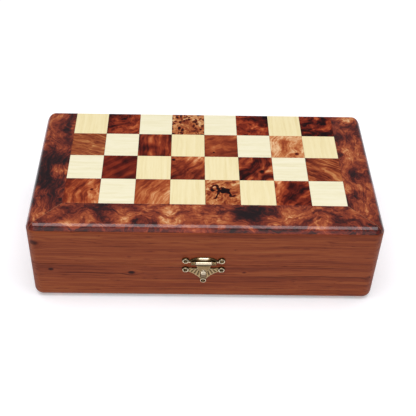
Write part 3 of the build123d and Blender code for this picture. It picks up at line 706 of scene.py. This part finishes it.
def brass_piece(name, node, body, groups, material):
    """Joins meshes given in millimetres from the latch's middle on the front face."""
    vertices, faces, wear_and_light = [], [], []
    for group_vertices, group_faces, group_wear_and_light in groups:
        first = len(vertices)
        vertices += [(LATCH_X + x * MM, FRONT + y * MM, z * MM) for x, y, z in group_vertices]
        faces += [tuple(first + i for i in face) for face in group_faces]
        wear_and_light += group_wear_and_light
    mesh = bpy.data.meshes.new(name)
    mesh.from_pydata(vertices, [], faces)
    attribute = mesh.attributes.new("wear_and_light", "FLOAT", "POINT")
    for item, value in zip(attribute.data, wear_and_light):
        item.value = value
    mesh.validate()
    shape = bmesh.new()
    shape.from_mesh(mesh)
    bmesh.ops.recalc_face_normals(shape, faces=shape.faces)
    shape.to_mesh(mesh)
    shape.free()
    for polygon in mesh.polygons:
        polygon.use_smooth = True
    mesh.set_sharp_from_angle(angle=math.radians(50))
    mesh.materials.append(material)
    piece = bpy.data.objects.new(name, mesh)
    bpy.context.scene.collection.objects.link(piece)
    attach(piece, body)
    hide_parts(node)
    return piece


def ring(x, z, centre, radius):
    """A raised ring round an eyelet's nail, as a share from 0 to 1."""
    away = math.dist((x, z), centre)
    return math.exp(-(((away - radius) / 0.55) ** 2))


def rounded(edge, reach):
    """Rises from 0 at the outline to 1 at reach inside it, like a quarter circle."""
    t = min(1.0, edge / reach)
    return math.sqrt(max(0.0, 1 - (1 - t) ** 2))


def lid_plate_height(x, z, edge):
    """The lid plate: a hump in an arched body, and an arm and an eyelet at each side."""
    u = abs(x)
    out = 0.35 + 0.65 * rounded(edge, 0.5)
    # The hump above the barrel, with a groove between it and the arch's rim.
    hump = math.exp(-((u / 4.1) ** 6)) * math.exp(-(((z - 53.0) / 1.0) ** 4))
    rim = math.exp(-(((edge - 0.7) / 0.4) ** 2))
    out += 0.95 * hump * rounded(edge, 1.2) + 0.30 * rim * (1 - hump)
    # Painted highlight on the hump, on top of its wear; beyond 5.5 mm the arch's sides are painted darker as
    # shade.
    rubbed_and_lit = (0.80 if u < 5.5 else 0.6) + 1.5 * hump + 0.20 * rim
    if u > 11:
        away = math.dist((u, z), LID_EYELET)
        out = 0.95 * rounded(edge, 0.5) if away < 1.35 else out
        lip = ring(u, z, LID_EYELET, LIP)
        arm = math.exp(-(((z - 49.2) / 0.7) ** 2)) if away > 3.0 else 0.0
        out += 0.65 * lip + 0.45 * arm
        # The eyelet's lip and the arm are paler from wear and from a painted highlight.
        rubbed_and_lit = 0.3 + 1.4 * max(lip, arm) if away < 3.2 or arm > 0.3 else rubbed_and_lit
    # Room for the hasp's barrel.
    if u < 7.2 and abs(z - BARREL_Z) < 2.1:
        room = BARREL_OUT - math.sqrt(2.1**2 - (z - BARREL_Z) ** 2)
        out = min(out, max(0.05, room))
        rubbed_and_lit = 0.9
    return max(0.05, out), rubbed_and_lit


def hasp_height(x, z, edge):
    """The tongue's outer face: smooth, with a low spine and rounded edges."""
    out = BARREL_OUT + 0.30 + 0.60 * rounded(edge, 0.9)
    out += 0.25 * math.exp(-((x / 3.4) ** 2)) * rounded(edge, 2.0)
    neck = math.exp(-(((z - 46.6) / 0.5) ** 2))
    return out - 0.25 * neck, 0.98 - 0.3 * neck + 0.25 * math.exp(-(((edge - 0.4) / 0.3) ** 2))


def catch_height(x, z, edge):
    """The catch plate: a fluted fan with three eyelets and the nose."""
    u = abs(x)
    out = 0.35 + 0.65 * rounded(edge, 0.5)
    # Flutes fan out from a point above the plate, and stop short of the raised rim.
    reach = math.hypot(x, 50.5 - z)
    angle = math.atan2(x, 50.5 - z)
    flute = 0.5 + 0.5 * math.cos(angle * 34.0)
    field = min(1.0, max(0.0, (edge - 0.9) / 0.7)) * min(1.0, max(0.0, (reach - 8.5) / 2.0))
    field *= min(1.0, max(0.0, (12.5 - u) / 1.5))
    rim = math.exp(-(((edge - 0.75) / 0.4) ** 2))
    out += field * (0.55 * flute - 0.15) + 0.35 * rim
    rubbed_and_lit = 0.85 - 0.15 * field + 0.50 * field * flute + 0.40 * rim
    for centre, radius in ((BASE_EYELET, LIP), (TIP_EYELET, 2.3)):
        away = math.dist((u, z), centre)
        lip = ring(u, z, centre, radius)
        if away < radius - 0.75:
            out = 0.35
        out += 0.60 * lip
        if away < radius + 0.9:
            # The lips round the eyelets are paler from wear and from a painted highlight.
            rubbed_and_lit = 0.2 + 1.5 * lip
    # The nose: a ridge that stands out furthest near its top, where it is narrowest.
    if 28.6 < z < 39.9:
        half = 1.7 + 0.9 * min(1.0, max(0.0, (38.8 - z) / 1.5))
        top = 4.2 - 3.0 * max(0.0, (37.3 - z) / 8.7)
        top = min(top, 1.6 + 1.6 * (38.8 - z))
        share = max(0.0, 1 - (u / half) ** 8)
        if share > 0 and 1.0 + (top - 1.0) * share ** 0.5 > out:
            out = 1.0 + (top - 1.0) * share ** 0.5
            # Painted highlight: the nose's upper facet is made paler and glossier.
            rubbed_and_lit = 0.9 + 1.0 * min(1.0, max(0.0, (z - 36.2) / 0.8))
    return max(0.05, out), rubbed_and_lit


def latch_material():
    """Antiqued brass: dark and dull, but pale and bright where rubbing has polished it and where a highlight
    is painted on, and darker where shade is painted.
    """
    g = Graph("antiqued_brass")
    wear_and_light_node = g.tree.nodes.new("ShaderNodeAttribute")
    wear_and_light_node.attribute_name = "wear_and_light"
    wear_and_light = wear_and_light_node.outputs["Fac"]
    place = g.vector("SCALE", g.place(), scale=1000.0)
    mottle = g.noise(place, 0.9, 3, 0.6)
    pits = g.noise(place, 4.0, 2, 0.6)
    level = g.math("MULTIPLY_ADD", g.math("SUBTRACT", mottle, 0.5), 0.5, wear_and_light)
    rubbed_and_lit = g.remap(level, 0.35, 1.60)
    tone = g.ramp(rubbed_and_lit, ((0.0, "241a10"), (0.45, "7d6848"), (0.7, "a08860"), (1.0, "ded0b4")))
    tone = g.mix(g.remap(pits, 0.35, 0.2, 0.0, 0.4), tone, colour("3a2c1a"))
    g.set(Base_Color=tone, Metallic=1.0, Roughness=g.math("MULTIPLY_ADD", rubbed_and_lit, -0.28, 0.46))
    g.bump(pits, 0.10, 0.04 * MM)
    return g.material


def latch():
    brass = latch_material()
    # The lid's plate: an arched body between two arms with eyelets.
    half = [(0.0, 54.2)]
    half += bezier((0.6, 54.2), (7.4, 54.3), (10.4, 51.8), 14)
    half += [(11.6, 50.6), (12.6, 50.3)]
    half += arc(LID_EYELET, EYELET, 178, -120, 22)
    half += [(12.6, 48.0), (11.0, 47.6), (10.8, 46.8), (7.3, 46.8), (0.0, 46.8)]
    plate = relief("plate", both_sides(half), lid_plate_height, 0.0)
    loop = [(7.2, 1.4), (7.35, 1.75), (8.0, 1.85), (8.7, 1.45), (9.1, 1.4), (9.6, 1.75), (10.3, 1.8)]
    loop += [(10.7, 1.5), (10.8, 1.1)]
    centre = (-BARREL_OUT, BARREL_Z)
    # The loops are painted a little paler on top, as a highlight.
    loops = [turned_along_x(loop, centre, (0.6, 1.0))]
    loops.append(turned_along_x([(-x, r) for x, r in reversed(loop)], centre, (0.6, 1.0)))
    brass_piece("lid_plate_relief", "lid_latch_plate", "lid", [plate] + loops, brass)
    # The hasp: its barrel and a tongue that straddles the nose.
    tongue = [(0.0, 47.9), (5.6, 47.9), (6.2, 46.6), (5.9, 45.2), (5.6, 43.9)]
    tongue += arc((0.0, 43.9), 5.6, 0, -72, 16)
    tongue += [(1.7, 40.2)]
    tongue += arc((0.0, 39.9), 1.7, 10, 90, 8)
    hasp_plate = relief("tongue", both_sides(tongue), hasp_height, BARREL_OUT)
    barrel = [(-7.0, 1.5), (-6.8, 1.8), (-6.4, 1.9), (6.4, 1.9), (6.8, 1.8), (7.0, 1.5)]
    # The barrel is painted dark underneath and pale on top, as painted shade and highlight.
    barrel = turned_along_x(barrel, centre, (0.45, 1.65))
    brass_piece("hasp_relief", "hasp", "hasp", [hasp_plate, barrel], brass)
    # The fan-shaped catch plate on the base.
    fan = [(0.0, 42.3), (4.4, 42.3), (5.4, 41.3), (8.8, 40.9)]
    fan += [(10.4, 41.3), (12.4, 41.2)]
    fan += arc(BASE_EYELET, EYELET, 140, -110, 22)
    fan += bezier((12.6, 36.4), (7.4, 34.0), (3.0, 28.0), 14)
    fan += arc(TIP_EYELET, 2.8, 35, -90, 16)
    catch = relief("catch", both_sides(fan), catch_height, 0.0)
    brass_piece("catch_relief", "catch_plate", "base", [catch], brass)


# ================= materials of the other nodes =================


def brass_material(name, pale, dark, roughness):
    g = Graph(name)
    place = g.vector("SCALE", g.place(), scale=1000.0)
    patina = g.noise(place, 0.5, 4, 0.6)
    tone = g.ramp(patina, ((0.35, dark), (0.6, pale)))
    g.set(Base_Color=tone, Metallic=1.0, Roughness=g.remap(patina, 0.3, 0.7, roughness + 0.12, roughness))
    g.bump(g.noise(place, 3.0, 3, 0.6), 0.15, 0.05 * MM)
    return g.material


def felt_material():
    g = Graph("green_felt")
    place = g.vector("SCALE", g.place(), scale=1000.0)
    fuzz = g.noise(place, 2.5, 4, 0.7)
    blotch = g.noise(place, 0.06, 3, 0.6)
    value = g.math("MULTIPLY_ADD", g.math("SUBTRACT", blotch, 0.5), 0.5, fuzz)
    tone = g.ramp(value, ((0.25, "0d3a1e"), (0.5, "155229"), (0.75, "1f6b37")))
    g.set(Base_Color=tone, Roughness=0.95)
    g.set(Sheen_Weight=0.4, Sheen_Roughness=0.4)
    g.bump(fuzz, 0.5, 0.4 * MM)
    return g.material


def men_material(name, stops, gloss):
    """Turned wood, its figure running through the whole man."""
    g = Graph(name)
    place = g.vector("SCALE", g.place(), scale=1000.0)
    wander = g.vector("SUBTRACT", g.noise(place, 0.05, 3, colour=True), (0.5, 0.5, 0.5))
    bent = g.vector("ADD", place, g.vector("SCALE", wander, scale=10.0))
    streak = g.noise(g.vector("MULTIPLY", bent, (0.9, 0.08, 0.9)), 1.0, 4, 0.6)
    curl = g.noise(bent, 0.25, 4, 0.6, 1.0)
    value = g.math("MULTIPLY_ADD", g.math("SUBTRACT", streak, 0.5), 0.9, curl)
    g.set(Base_Color=g.ramp(value, stops), Roughness=gloss, Coat_Weight=0.25, Coat_Roughness=0.15)
    g.bump(value, 0.05, 0.1 * MM)
    return g.material


def dress(nodes, material):
    """Gives CAD nodes a material in their own slots."""
    for node in nodes:
        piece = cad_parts[node]
        piece.data.materials.clear()
        piece.data.materials.append(material)


def dress_nodes():
    names = sorted(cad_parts)
    walls = [n for n in names if n.endswith("_wall")]
    dress([n for n in walls if "front" in n or "back" in n], wall_material("thuya_wall_long", False))
    dress([n for n in walls if "left" in n or "right" in n], wall_material("thuya_wall_short", True))
    dress(["lid_burl_frame", "base_burl_frame"], frame_material())
    dress(["lid_board_panel", "base_board_panel"], wall_material("panel_wood", False))
    dress(["lid_felt", "base_felt"], felt_material())
    dress(["lid_hinge_leaves", "base_hinge_leaves"], brass_material("hinge_brass", "c9a25a", "7a5a2a", 0.3))
    dress(["hinge_pins", "hasp_pin"], brass_material("pin_steel", "a8a8a4", "6c6a66", 0.35))
    # The nails are painted dark as the shade inside the eyelets' holes.
    dress(["lid_brass_nails", "base_brass_nails"], brass_material("nail_brass", "6e5836", "2e2416", 0.4))
    pale = men_material("lemonwood_men", ((0.2, "c9ad73"), (0.5, "e0cb95"), (0.8, "efe0b5")), 0.32)
    deep = men_material("thuya_men", ((0.15, "2e0e0a"), (0.45, "6a2616"), (0.8, "a35a36")), 0.3)
    dress([n for n in names if n.startswith("light_")], pale)
    dress([n for n in names if n.startswith("dark_")], deep)


# ================= camera, floor and light =================

FLOOR_SIZE = 8.0


def look_from(azimuth, elevation, roll, distance, target, lens, shift):
    """A camera at azimuth and elevation round a target, rolled, with its picture shifted."""
    a, e, r = (math.radians(v) for v in (azimuth, elevation, roll))
    back = Vector((math.sin(a) * math.cos(e), -math.cos(a) * math.cos(e), math.sin(e)))
    right = Vector((math.cos(a), math.sin(a), 0.0))
    up = back.cross(right)
    across = math.cos(r) * right + math.sin(r) * up
    over = math.cos(r) * up - math.sin(r) * right
    data = bpy.data.cameras.new("camera")
    data.sensor_width = 36.0
    data.lens = lens
    data.shift_x, data.shift_y = shift
    camera = bpy.data.objects.new("camera", data)
    bpy.context.scene.collection.objects.link(camera)
    turn = Matrix((across, over, back)).transposed().to_4x4()
    camera.matrix_world = Matrix.Translation(target + distance * back) @ turn
    bpy.context.scene.camera = camera


def area_light(name, place, target, size, watts, tint):
    data = bpy.data.lights.new(name, "AREA")
    data.shape = "RECTANGLE"
    data.size, data.size_y = size
    data.energy = watts
    data.color = tint
    lamp = bpy.data.objects.new(name, data)
    bpy.context.scene.collection.objects.link(lamp)
    lamp.location = place
    lamp.rotation_euler = (Vector(target) - Vector(place)).to_track_quat("-Z", "Y").to_euler()


def studio():
    look_from(-1.01, 39.52, 1.43, 0.7871, Vector((-0.0081, 0.0667, TOP)), 71.6, (0.0298, -0.2112))
    scene = bpy.context.scene
    scene.view_settings.view_transform = "Standard"
    world = bpy.data.worlds.new("studio")
    world.use_nodes = True
    world.node_tree.nodes["Background"].inputs["Color"].default_value = (0.90, 0.92, 1.0, 1.0)
    world.node_tree.nodes["Background"].inputs["Strength"].default_value = 0.28
    scene.world = world
    area_light("overhead", (0.0, -0.1, 1.3), (0, 0, TOP), (1.7, 0.9), 17.5, (0.98, 0.97, 1.0))
    area_light("front_fill", (-0.2, -1.9, 1.0), (0, 0, MID), (2.2, 1.6), 8.5, (1.0, 0.97, 0.94))
    bpy.ops.mesh.primitive_grid_add(x_subdivisions=8, y_subdivisions=8, size=FLOOR_SIZE, location=(0, 0, 0))
    floor = bpy.context.object
    floor.name = "floor"
    g = Graph("pale_floor")
    g.set(Base_Color=(0.86, 0.86, 0.86, 1.0), Roughness=0.9, Specular_IOR_Level=0.0)
    g.set(Emission_Color=(1.0, 1.0, 1.0, 1.0), Emission_Strength=0.28)
    floor.data.materials.append(g.material)


squares()
latch()
dress_nodes()
studio()
